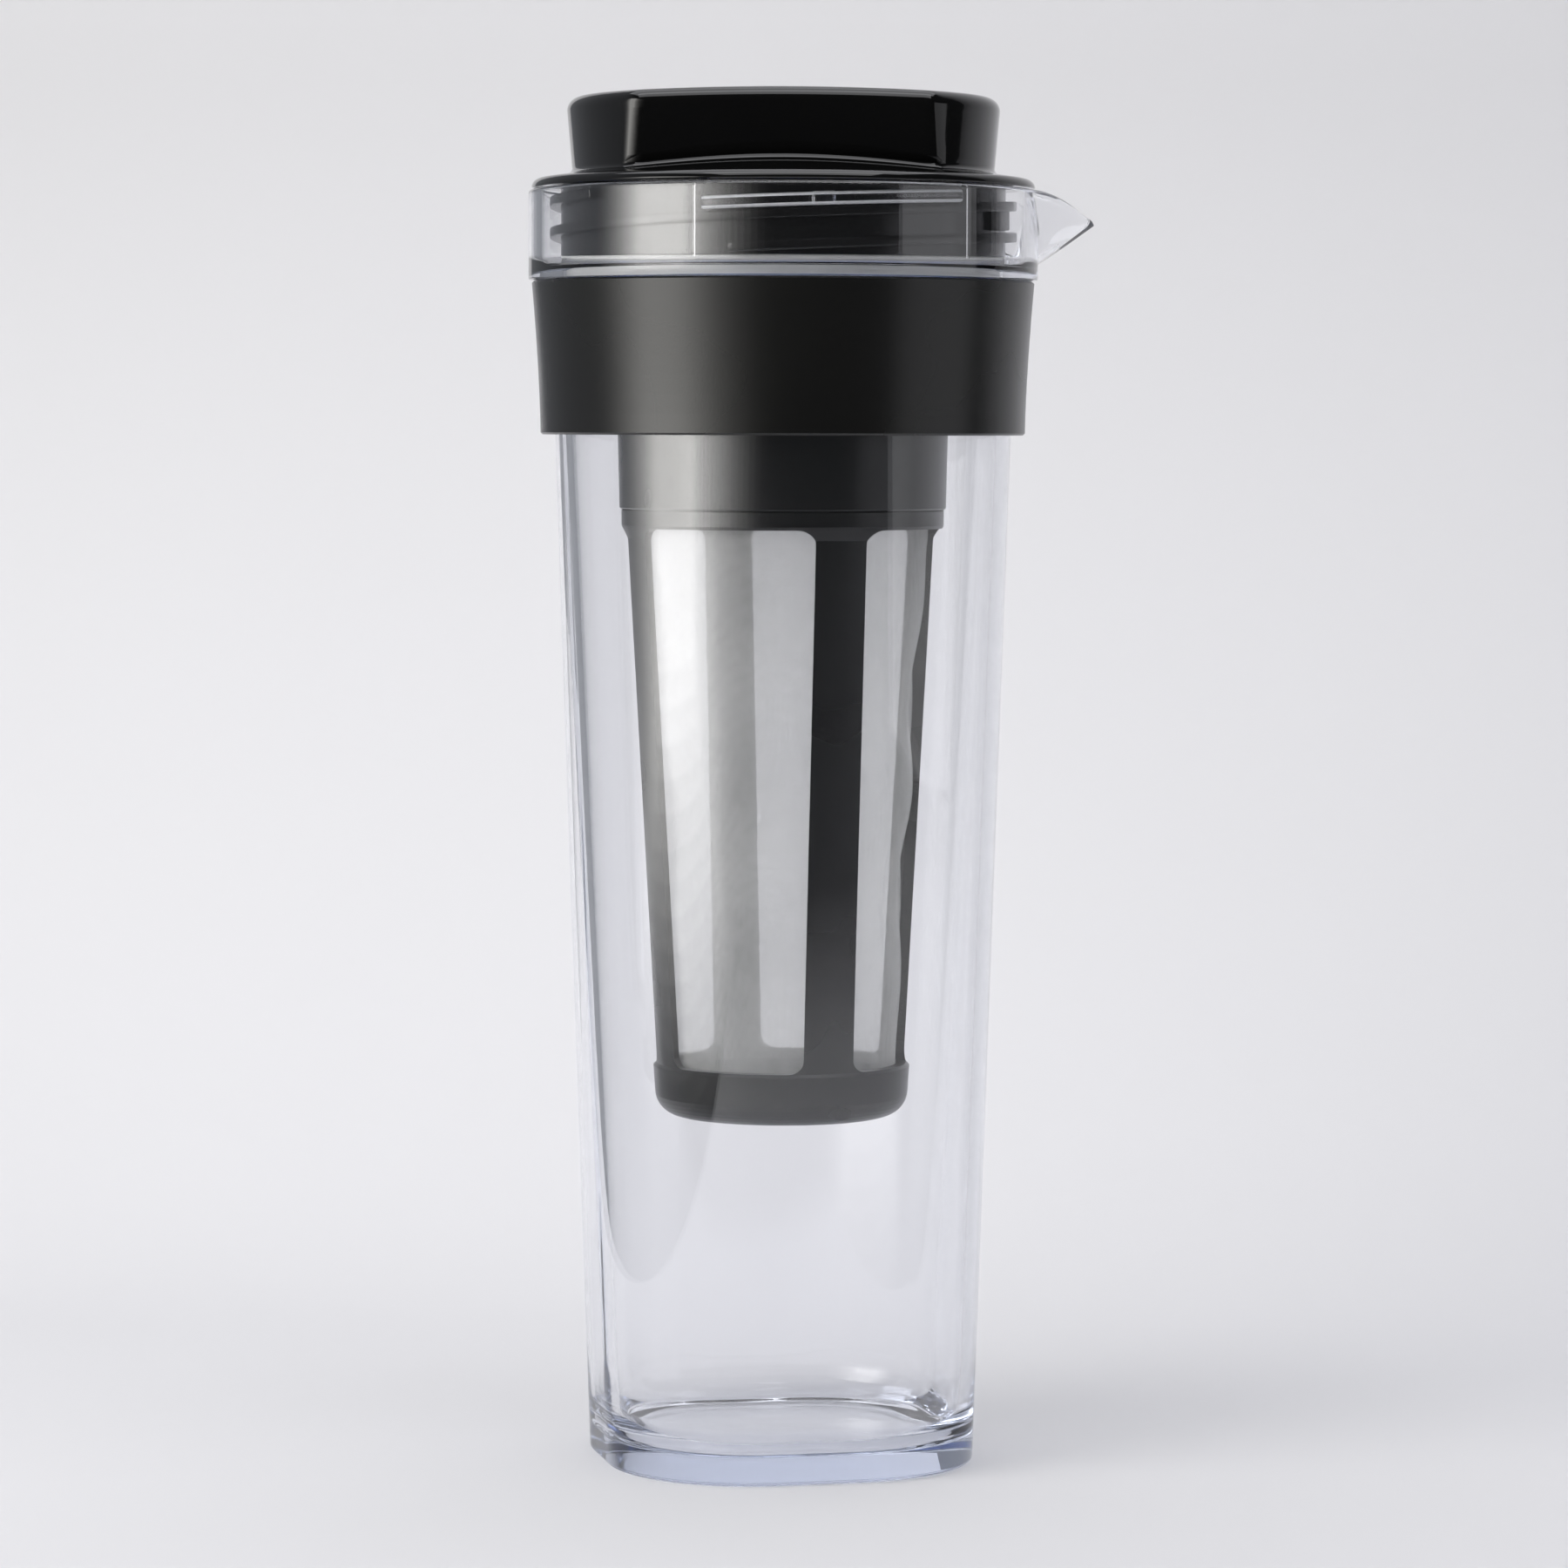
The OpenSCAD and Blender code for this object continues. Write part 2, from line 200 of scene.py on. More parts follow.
ribHighlightLook = {"colour": (0.93, 0.94, 0.96, 1), "rough": 0.25, "scuff": 0.3, "scuffScale": 700.0,
              "ior": 1.55, "through": 0.1}
ribHighlightPlastic = ribHighlightMaterial(ribHighlightLook)


# Pale silicone with a slight cloudiness.
def siliconeMaterial(look):
    material, wire = newMaterial("silicone")
    where = wire.add("ShaderNodeTexCoord", {}, {}, "Object")
    cloud = noise(wire, where, look["cloudScale"])
    ramp = wire.add("ShaderNodeMix", {"data_type": "RGBA"},
                    {"Factor": cloud, "A": look["dark"], "B": look["light"]}, "Result")
    shader = wire.add("ShaderNodeBsdfPrincipled", {}, {
        "Base Color": ramp,
        "Roughness": look["rough"] + cloud * look["roughDrift"],
        "IOR": look["ior"],
    })
    closeMaterial(wire, shader)
    return material


siliconeLook = {"dark": (0.9, 0.9, 0.88, 1), "light": (0.96, 0.96, 0.94, 1), "rough": 0.3,
                "roughDrift": 0.1, "ior": 1.41, "cloudScale": 90.0}
silicone = siliconeMaterial(siliconeLook)


# Fine woven mesh: threads both ways round the sleeve, part open between them.
def meshMaterial(look):
    material, wire = newMaterial("meshWhite")
    where = wire.add("ShaderNodeTexCoord", {}, {}, "Object")
    place = wire.add("ShaderNodeSeparateXYZ", {}, {"Vector": where}, "Z")
    x = Wire(wire.tree, place.socket.node.outputs["X"])
    y = Wire(wire.tree, place.socket.node.outputs["Y"])
    turn = wire.math("ARCTAN2", y, x)
    across = wire.math("SINE", turn * look["threadsRound"])
    along = wire.math("SINE", place * look["threadsUp"])
    weave = (across * across + along * along) * 0.5
    patch = noise(wire, where, look["patchScale"], 3.0)
    cloth = wire.add("ShaderNodeBsdfPrincipled", {}, {
        "Base Color": look["colour"],
        "Roughness": look["rough"] + patch * look["roughDrift"],
        "Specular IOR Level": look["shine"],
    })
    lit = wire.add("ShaderNodeBsdfTranslucent", {}, {"Color": look["colour"]})
    threads = wire.add("ShaderNodeMixShader", {}, {0: look["through"], 1: cloth, 2: lit})
    gaps = wire.add("ShaderNodeBsdfTransparent", {}, {})
    cover = look["cover"] + weave * look["weave"] + (patch - 0.5) * look["patch"]
    closeMaterial(wire, wire.add("ShaderNodeMixShader", {}, {0: cover, 1: gaps, 2: threads}))
    return material


meshLook = {"colour": (0.92, 0.92, 0.91, 1), "threadsRound": 600.0, "threadsUp": 21000.0, "cover": 0.18,
            "weave": 0.18, "patch": 0.06, "patchScale": 300.0, "through": 0.52,
            "rough": 0.75, "roughDrift": 0.1, "shine": 0.2}
meshWhite = meshMaterial(meshLook)
print("materials made")


# Turns a finished bmesh in millimetres into an object in metres.
def finishPiece(bm, name, material, body, replaced=(), sharp=35):
    bmesh.ops.scale(bm, vec=(0.001, 0.001, 0.001), verts=bm.verts)
    bmesh.ops.recalc_face_normals(bm, faces=bm.faces)
    mesh = bpy.data.meshes.new(name)
    bm.to_mesh(mesh)
    bm.free()
    mesh.materials.append(material)
    for face in mesh.polygons:
        face.use_smooth = True
    mesh.set_sharp_from_angle(angle=math.radians(sharp))
    piece = bpy.data.objects.new(name, mesh)
    bpy.context.scene.collection.objects.link(piece)
    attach(piece, body)
    if replaced:
        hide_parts(*replaced)
    return piece


def polar(angle, radius, z):
    return Vector((radius * math.cos(angle), radius * math.sin(angle), z))


def ringEdges(bm, ring):
    return [bm.edges.get((a, b)) for a, b in zip(ring, ring[1:] + ring[:1])]


# A skin through a list of rings, each ring a list of points in the same order.
def loft(bm, rings, capStart=True, capEnd=True):
    ring = bmesh.ops.create_circle(bm, cap_ends=False, segments=len(rings[0]), radius=1)["verts"]
    for vert, point in zip(ring, rings[0]):
        vert.co = point
    if capStart:
        bmesh.ops.edgeloop_fill(bm, edges=ringEdges(bm, ring))
    for points in rings[1:]:
        made = bmesh.ops.extrude_edge_only(bm, edges=ringEdges(bm, ring))["geom"]
        fresh = {item for item in made if isinstance(item, bmesh.types.BMVert)}
        nextRing = []
        for vert, point in zip(ring, points):
            other = next(e.other_vert(vert) for e in vert.link_edges if e.other_vert(vert) in fresh)
            other.co = point
            nextRing.append(other)
        ring = nextRing
    if capEnd:
        bmesh.ops.edgeloop_fill(bm, edges=ringEdges(bm, ring))


# Clear jug: one skin from the foot, up the outside, over the rim and spout, and down to the floor.
jug = {"segments": 192, "baseHalf": 36.4, "baseCorner": 28.4, "shoulderR": 45.8, "shoulderZ": 232.0,
       "wall": 3.0, "floorT": 4.8, "floorRound": 7.0, "footRound": 1.0, "neckR": 50.0, "neckBore": 47.4,
       "shelfZ": 234.4, "neckTop": 249.8, "rimRound": 0.6, "seatBore": 43.1, "bodyRings": 26,
       "bandAir": 0.15, "neckRound": 0.4, "neckRoundMid": 0.12, "shelfRound": 0.6, "shelfRoundMid": 0.18,
       "seatRound": 0.4, "seatRoundMid": 0.1, "stepOut": 0.3, "seatLead": 0.6, "capInset": 1.0}
rimSteps = [(0.1, 0.65), (0.28, 1), (0.5, 1), (0.72, 1), (0.9, 0.65)]  # share across, share of the rise
spout = {"halfAngle": math.radians(26.25), "depth": 15.2, "drop": 4.6, "keelRise": 9.0, "rimBand": 1.0,
         "tipShare": 0.15, "wallRows": 7, "beakRows": 12, "flankPower": 1.5, "keelPower": 1.05,
         "liftFade": 0.55, "innerTurn": math.radians(2.5)}
jugAngles = [2 * math.pi * i / jug["segments"] for i in range(jug["segments"])]


# Distance from the axis to the side of a rounded square, in one direction
def squareRadius(angle, half, corner):
    c = abs(math.cos(angle))
    s = abs(math.sin(angle))
    spread = half - corner
    if min(c, s) * half <= spread * max(c, s):
        return half / max(c, s)
    reach = spread * (c + s)
    return reach + math.sqrt(reach * reach - 2 * spread * spread + corner * corner)


def bodyRing(z, inset):
    share = min(z / jug["shoulderZ"], 1)
    half = mix(jug["baseHalf"], jug["shoulderR"], share) - inset
    corner = mix(jug["baseCorner"], jug["shoulderR"], share) - inset
    return [polar(a, squareRadius(a, half, corner), z) for a in jugAngles]


def roundRing(radius, z):
    return [polar(a, radius, z) for a in jugAngles]


# One upright line of the neck's wall, which runs out along the spout where the spout is.
def neckColumn(angle, form):
    turn = angle if angle <= math.pi else angle - 2 * math.pi
    share = abs(turn) / spout["halfAngle"]
    side = math.copysign(1, turn)
    size = min(share, 1)
    drawnIn = spout["halfAngle"] - form["halfAngle"]
    bearing = size * form["halfAngle"] if share <= 1 else abs(turn) - drawnIn * max(0, 2 - share)
    lowRim = jug["neckTop"] - jug["rimRound"] - spout["rimBand"]
    keelRoot = jug["neckTop"] - spout["depth"] + form["lift"]
    rootZ = mix(keelRoot, lowRim, size ** spout["flankPower"])
    column = [polar(side * bearing, form["rootR"], mix(form["lowZ"], rootZ, i / spout["wallRows"]))
              for i in range(spout["wallRows"] + 1)]
    if size < spout["tipShare"]:
        endStep, endSide = 1, size / spout["tipShare"]
    else:
        endStep, endSide = 1 - (size - spout["tipShare"]) / (1 - spout["tipShare"]), 1
    for i in range(1, spout["beakRows"] + 1):
        t = i / spout["beakRows"]
        step = endStep * t
        across = mix(size, endSide, t)
        root = polar(side * (across * form["halfAngle"] if share <= 1 else bearing), form["rootR"], 0)
        tip = Vector((form["tipX"] - form["tipW"] * across * across, side * form["tipW"] * across, 0))
        keel = keelRoot + spout["keelRise"] * step ** spout["keelPower"]
        keel -= spout["liftFade"] * form["lift"] * step
        rim = lowRim + spout["rimBand"] * t - spout["drop"] * step ** 2
        point = root.lerp(tip, step)
        point.z = mix(keel, rim, across ** spout["flankPower"])
        column.append(point)
    return column


def buildJug():
    underNeck = jug["shoulderZ"] + jug["bandAir"]
    outerForm = {"rootR": jug["neckR"], "halfAngle": spout["halfAngle"],
                 "lowZ": underNeck + jug["neckRound"], "lift": 0.0, "tipX": 63.39, "tipW": 2.2}
    innerForm = {"rootR": jug["neckBore"], "halfAngle": spout["halfAngle"] - spout["innerTurn"],
                 "lowZ": jug["shelfZ"] + jug["shelfRound"], "lift": 1.6, "tipX": 61.8, "tipW": 0.9}
    outer = [neckColumn(a, outerForm) for a in jugAngles]
    inner = [neckColumn(a, innerForm) for a in jugAngles]
    rows = len(outer[0])
    rings = []
    foot = jug["footRound"]
    for i in range(6):
        turn = math.radians(18 * i)
        rings.append(bodyRing(foot * (1 - math.cos(turn)), foot * (1 - math.sin(turn))))
    for i in range(1, jug["bodyRings"] + 1):
        rings.append(bodyRing(mix(foot, jug["shoulderZ"], i / jug["bodyRings"]), 0))
    rings.append(roundRing(jug["shoulderR"] + jug["stepOut"], underNeck))
    rings.append(roundRing(jug["neckR"] - jug["neckRound"], underNeck))
    rings.append(roundRing(jug["neckR"] - jug["neckRoundMid"], underNeck + jug["neckRoundMid"]))
    for row in range(rows):
        rings.append([column[row] for column in outer])
    for share, rise in rimSteps:
        lift = Vector((0, 0, rise * jug["rimRound"]))
        rings.append([a[-1].lerp(b[-1], share) + lift for a, b in zip(outer, inner)])
    for row in reversed(range(rows)):
        rings.append([column[row] for column in inner])
    rings.append(roundRing(jug["neckBore"] - jug["shelfRoundMid"], jug["shelfZ"] + jug["shelfRoundMid"]))
    rings.append(roundRing(jug["neckBore"] - jug["shelfRound"], jug["shelfZ"]))
    rings.append(roundRing(jug["seatBore"] + jug["seatRound"], jug["shelfZ"]))
    rings.append(roundRing(jug["seatBore"] + jug["seatRoundMid"], jug["shelfZ"] - jug["seatRoundMid"]))
    rings.append(roundRing(jug["seatBore"], jug["shelfZ"] - jug["seatRound"]))
    rings.append(roundRing(jug["seatBore"], jug["shoulderZ"]))
    wellZ = jug["floorT"] + jug["floorRound"]
    for i in range(jug["bodyRings"]):
        z = mix(jug["shoulderZ"] - jug["seatLead"], wellZ, i / jug["bodyRings"])
        rings.append(bodyRing(z, jug["wall"]))
    for i in range(9):
        turn = math.radians(90 - 11.25 * i)
        drop = jug["floorRound"] * (1 - math.cos(turn))
        rings.append(bodyRing(jug["floorT"] + drop, jug["wall"] + jug["floorRound"] * (1 - math.sin(turn))))
    bm = bmesh.new()
    loft(bm, rings)
    caps = [f for f in bm.faces if len(f.verts) > 4]
    bmesh.ops.inset_region(bm, faces=caps, thickness=jug["capInset"])
    return finishPiece(bm, "jug_clear", clearPlastic, "jug", ["jug_body"])


buildJug()
print("jug made")


# A bar of four-cornered section swept round the axis while it climbs.
def sweptBar(bm, bar):
    centreR = (bar["innerR"] + bar["outerR"]) / 2
    start = math.radians(bar["start"])
    span = math.radians(bar["span"])
    place = (Matrix.Rotation(start, 4, "Z") @ Matrix.Translation((centreR, 0, bar["z"]))
             @ Matrix.Rotation(math.pi / 2, 4, "X"))
    made = bmesh.ops.create_grid(bm, x_segments=1, y_segments=1, size=0.5)["verts"]
    bmesh.ops.scale(bm, vec=(bar["outerR"] - bar["innerR"], bar["height"], 1), verts=made)
    bmesh.ops.transform(bm, matrix=place, verts=made)
    geom = made + list(dict.fromkeys(e for v in made for e in v.link_edges))
    geom += list(dict.fromkeys(f for v in made for f in v.link_faces))
    steps = bar["steps"]
    bmesh.ops.spin(bm, geom=geom, axis=(0, 0, 1), cent=(0, 0, 0), angle=span, steps=steps,
                   dvec=(0, 0, bar["climb"] / steps), use_merge=False, use_duplicate=False)


# Two short thread ribs moulded inside the clear neck, each with a small catch.
neckRibs = {"innerR": 46.0, "outerR": 47.43, "height": 2.5, "start": -122.0, "span": 64.0, "z": 245.7,
            "climb": 1.9, "steps": 40}
neckCatch = {"innerR": 45.9, "outerR": 47.43, "height": 2.6, "start": -96.5, "span": 5.4, "z": 246.5,
             "climb": 0.15, "steps": 5}
neckTrim = {"round": 0.6, "highlightSlope": 0.25}
neckSeam = {"innerR": 47.1, "outerR": 47.43, "height": 13.4, "start": -123.8, "span": 0.6, "z": 242.3,
            "climb": 0.0, "steps": 2}


def buildNeckRibs():
    bm = bmesh.new()
    for turn in (0, 180):
        sweptBar(bm, {**neckRibs, "start": neckRibs["start"] + turn})
        sweptBar(bm, {**neckCatch, "start": neckCatch["start"] + turn})
    bmesh.ops.bevel(bm, geom=bm.edges[:], offset=neckTrim["round"], segments=3, profile=0.5,
                    affect="EDGES", material=-1)
    # Rib faces that slope up or down take the pale material, a painted highlight along the ribs' top and
    # bottom edges.
    for face in bm.faces:
        if abs(face.normal.z) > neckTrim["highlightSlope"]:
            face.material_index = 1
    for start in (neckSeam["start"], -180 - neckSeam["start"] - neckSeam["span"]):
        for turn in (0, 180):
            sweptBar(bm, {**neckSeam, "start": start + turn})
    piece = finishPiece(bm, "neck_ribs", clearPlastic, "jug")
    piece.data.materials.append(ribHighlightPlastic)
    return piece


buildNeckRibs()
print("neck ribs made")

# Lid cover: flange and two-flat knob as one skin, hollow underneath.
lid = {"segments": 288, "angle": -13.0, "flangeZ": 250.1, "flangeR": 49.4, "flangeT": 1.9, "apexZ": 259.2,
       "knobTop": 269.3, "dome": 1.5, "round": 2.6, "lowR": 41.1, "highR": 42.4, "flatLow": 28.5,
       "flatSlope": 0.1887, "crease": 4.4, "shell": 2.2, "registerR": 38.7, "footRound": 1.3,
       "wallRings": 10, "registerH": 1.1, "slopeStart": math.radians(80), "topCrease": 1.8,
       "innerRound": 2.0, "innerRoundMid": 0.6, "innerCrease": 0.8, "creaseLoss": 2.0,
       "flangeLip": 0.5, "lipIn": 0.12, "lipUp": 0.08, "capShare": 0.1}
lidAngles = [2 * math.pi * i / lid["segments"] for i in range(lid["segments"])]


# Distance from the axis to the knob's side: a circle with two flats and rounded creases between
def knobRadius(angle, z, inset, crease):
    edgeZ = lid["knobTop"] - lid["dome"] - lid["round"]
    radius = mix(lid["lowR"], lid["highR"], (z - lid["flangeZ"]) / (edgeZ - lid["flangeZ"])) - inset
    flat = lid["flatLow"] + lid["flatSlope"] * (z - lid["flangeZ"]) - inset
    away = math.atan2(abs(math.cos(angle)), abs(math.sin(angle)))
    centreX = math.sqrt((radius - crease) ** 2 - (flat - crease) ** 2)
    if math.tan(away) * flat <= centreX:
        return flat / math.cos(away)
    if away >= math.atan2(centreX, flat - crease):
        return radius
    along = centreX * math.sin(away) + (flat - crease) * math.cos(away)
    return along + math.sqrt(along ** 2 - centreX ** 2 - (flat - crease) ** 2 + crease ** 2)


def buildLid():
    edgeZ = lid["knobTop"] - lid["dome"] - lid["round"]
    topR = lid["highR"] - lid["round"]

    def domeRise(radius):
        return lid["dome"] * (1 - (radius / topR) ** 2)

    def topRiseAt(angle):
        edgeR = knobRadius(angle, edgeZ, lid["round"], lid["crease"] - lid["creaseLoss"])
        return domeRise(min(edgeR, topR))

    def knobRing(z, inset):
        crease = max(lid["crease"] - inset, lid["innerCrease"])
        return [polar(a, knobRadius(a, z, inset, crease), z) for a in lidAngles]

    def plainRing(radius, z):
        return [polar(a, radius, z) for a in lidAngles]

    slopeR = lid["flangeR"] - lid["flangeT"] + lid["flangeT"] * math.cos(lid["slopeStart"])
    slopeZ = lid["flangeZ"] + lid["flangeT"] * math.sin(lid["slopeStart"])
    slope = (lid["apexZ"] - slopeZ) / slopeR

    def flangeTop(radius):
        return slopeZ + slope * (slopeR - radius)

    innerTop = edgeZ + lid["round"] - lid["shell"]
    registerTop = lid["flangeZ"] + lid["registerH"]
    innerRim = knobRing(innerTop, lid["shell"] + lid["innerRound"])
    rings = [[Vector((p.x * lid["capShare"], p.y * lid["capShare"], p.z)) for p in innerRim]]
    rings.append(innerRim)
    rings.append(knobRing(innerTop - lid["innerRoundMid"], lid["shell"] + lid["innerRoundMid"]))
    rings.append(knobRing(innerTop - lid["innerRound"], lid["shell"]))
    rings.append(knobRing(registerTop, lid["shell"]))
    rings.append(plainRing(lid["registerR"], registerTop))
    rings.append(plainRing(lid["registerR"], lid["flangeZ"]))
    rings.append(plainRing(lid["flangeR"] - lid["flangeLip"], lid["flangeZ"]))
    rings.append(plainRing(lid["flangeR"] - lid["lipIn"], lid["flangeZ"] + lid["lipUp"]))
    for i in range(1, 9):
        turn = math.radians(10 * i)
        rings.append(plainRing(lid["flangeR"] - lid["flangeT"] * (1 - math.cos(turn)),
                               lid["flangeZ"] + lid["flangeT"] * math.sin(turn)))
    footRadii = []
    for a in lidAngles:
        radius = lid["lowR"]
        for _ in range(6):
            radius = knobRadius(a, flangeTop(radius), 0, lid["crease"])
        footRadii.append(radius)
    small = lid["footRound"]
    for i in range(6):
        turn = math.radians(15 * i)
        out = small * (1 - math.sin(turn))
        rise = small * (1 - math.cos(turn))
        rings.append([polar(a, r + out, flangeTop(r + out) + rise) for a, r in zip(lidAngles, footRadii)])
    for i in range(lid["wallRings"] + 1):
        ring = []
        for a, r in zip(lidAngles, footRadii):
            z = mix(flangeTop(r) + small, edgeZ + topRiseAt(a), i / lid["wallRings"])
            ring.append(polar(a, knobRadius(a, z, 0, lid["crease"]), z))
        rings.append(ring)
    for i in range(1, 9):
        turn = math.radians(11.25 * i)
        inset = lid["round"] * (1 - math.cos(turn))
        ring = []
        for a in lidAngles:
            topRise = topRiseAt(a)
            z = edgeZ + topRise + lid["round"] * math.sin(turn)
            crease = max(lid["crease"] - inset, lid["topCrease"])
            ring.append(polar(a, knobRadius(a, edgeZ + topRise, inset, crease), z))
        rings.append(ring)
    edge = rings[-1]
    for share in (0.97, 0.9, 0.8, 0.65, 0.5, 0.35, 0.2, 0.08):
        ring = []
        for p in edge:
            radius = math.hypot(p.x, p.y) * share
            ring.append(Vector((p.x * share, p.y * share, edgeZ + lid["round"] + domeRise(radius))))
        rings.append(ring)
    bm = bmesh.new()
    loft(bm, rings)
    turned = Matrix.Rotation(math.radians(lid["angle"]), 3, "Z")
    bmesh.ops.rotate(bm, cent=(0, 0, 0), matrix=turned, verts=bm.verts)
    return finishPiece(bm, "lid_top", lidBlack, "lid", ["lid_cover"])


buildLid()
print("lid made")

# Two-start thread on the plug, with a stop between the ribs on each side.
thread = {"innerR": 43.4, "outerR": 45.8, "height": 1.9, "start": 64.0, "span": 321.0, "z": 237.4,
          "climb": 10.7, "steps": 160, "round": 0.3}
threadStop = {"innerR": 43.4, "outerR": 45.3, "height": 4.0, "start": 320.5, "span": 8.3, "z": 243.5,
              "climb": 0.1, "steps": 5}


def buildThreads():
    bm = bmesh.new()
    for turn in (0, 180):
        sweptBar(bm, {**thread, "start": thread["start"] + turn})
        sweptBar(bm, {**threadStop, "start": threadStop["start"] + turn})
    bmesh.ops.bevel(bm, geom=bm.edges[:], offset=thread["round"], segments=2, profile=0.5,
                    affect="EDGES", material=-1)
    return finishPiece(bm, "lid_threads", plugBlack, "lid")


buildThreads()
print("threads made")

# Mesh sleeve inside the ribs: it gives way a little in each window.
sleeve = {"segments": 192, "rings": 76, "lowZ": 76.4, "coneTop": 181.8, "topZ": 187.5, "lowR": 22.7,
          "highR": 28.7, "slack": 2.7, "thick": 0.2, "firstWindow": 53.5, "waves": 17, "waveShift": 2.1,
          "waveStart": 1.97, "acrossPower": 0.7, "alongPower": 0.6, "lowShare": 0.35, "shareRise": 1.6}


def sleeveInset(angle, z):
    rise = (z - sleeve["lowZ"]) / (sleeve["coneTop"] - sleeve["lowZ"])
    if rise >= 1:
        return 0
    offset = angle - math.radians(sleeve["firstWindow"])
    window = math.floor(offset / (math.pi / 2) + 0.5)
    hollow = max(0, math.cos(2 * (offset - window * math.pi / 2))) ** sleeve["acrossPower"]
    wave = 0.5 + 0.5 * math.sin(rise * sleeve["waves"] + sleeve["waveShift"] * window + sleeve["waveStart"])
    ends = math.sin(math.pi * rise) ** sleeve["alongPower"]
    return sleeve["slack"] * hollow * ends * min(1, sleeve["lowShare"] + sleeve["shareRise"] * rise) * wave


def buildSleeve():
    rings = []
    angles = [2 * math.pi * k / sleeve["segments"] for k in range(sleeve["segments"])]
    for i in range(sleeve["rings"] + 1):
        z = mix(sleeve["lowZ"], sleeve["topZ"], i / sleeve["rings"])
        rise = (z - sleeve["lowZ"]) / (sleeve["coneTop"] - sleeve["lowZ"])
        radius = mix(sleeve["lowR"], sleeve["highR"], min(rise, 1))
        rings.append([polar(a, radius - sleeveInset(a, z), z) for a in angles])
    bm = bmesh.new()
    loft(bm, rings, False, False)
    piece = finishPiece(bm, "mesh_sleeve", meshWhite, "filter", ["filter_mesh"], 60)
    solid = piece.modifiers.new("thickness", "SOLIDIFY")
    solid.thickness = sleeve["thick"] / 1000
    solid.offset = -1
    return piece


buildSleeve()
print("mesh made")

carried = {"grip_band": bandBlack, "lid_plug": plugBlack, "lid_seal": silicone, "filter_seal": silicone,
           "filter_collar": filterBlack, "filter_frame": filterBlack}
for nodeName, material in carried.items():
    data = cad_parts[nodeName].data
    data.materials.clear()
    data.materials.append(material)
print("carried nodes finished")

# Camera and stage are turned to face the jug as it stands in the picture.
shot = {"azimuth": -13.0, "distance": 1.113, "height": 0.2041, "pitch": 3.646, "lens": 129.64,
        "sensor": 36, "roll": 0.15, "yaw": 0.022}
facing = math.radians(shot["azimuth"])


def aroundShot(azimuth, distance, height):
    turn = facing + math.radians(azimuth)
    return Vector((math.sin(turn) * distance, -math.cos(turn) * distance, height))


def buildCamera():
    data = bpy.data.cameras.new("camera")
    data.lens = shot["lens"]
    data.sensor_width = shot["sensor"]
    camera = bpy.data.objects.new("camera", data)
    camera.location = aroundShot(0, shot["distance"], shot["height"])
    aim = Matrix.Rotation(facing - math.radians(shot["yaw"]), 3, "Z")
    aim = aim @ Matrix.Rotation(math.radians(90 - shot["pitch"]), 3, "X")
    aim = aim @ Matrix.Rotation(math.radians(shot["roll"]), 3, "Z")
    camera.rotation_euler = aim.to_euler()
    bpy.context.scene.collection.objects.link(camera)
    bpy.context.scene.camera = camera


buildCamera()

# Seamless sweep: a table that curves up into the backdrop close behind the jug.
sweep = {"front": -0.7, "flat": 0.16, "bend": 0.3, "bendSteps": 32, "height": 1.3, "left": -0.228,
         "right": 1.3, "air": 0.0002, "colour": (0.735, 0.733, 0.75, 1),
         "frontShadeColour": (0.05, 0.05, 0.052, 1), "frontEdge": -0.44, "frontFade": 0.24, "fibreScale": 400.0,
         "rough": 0.85, "fibre": 0.1, "shine": 0.1}


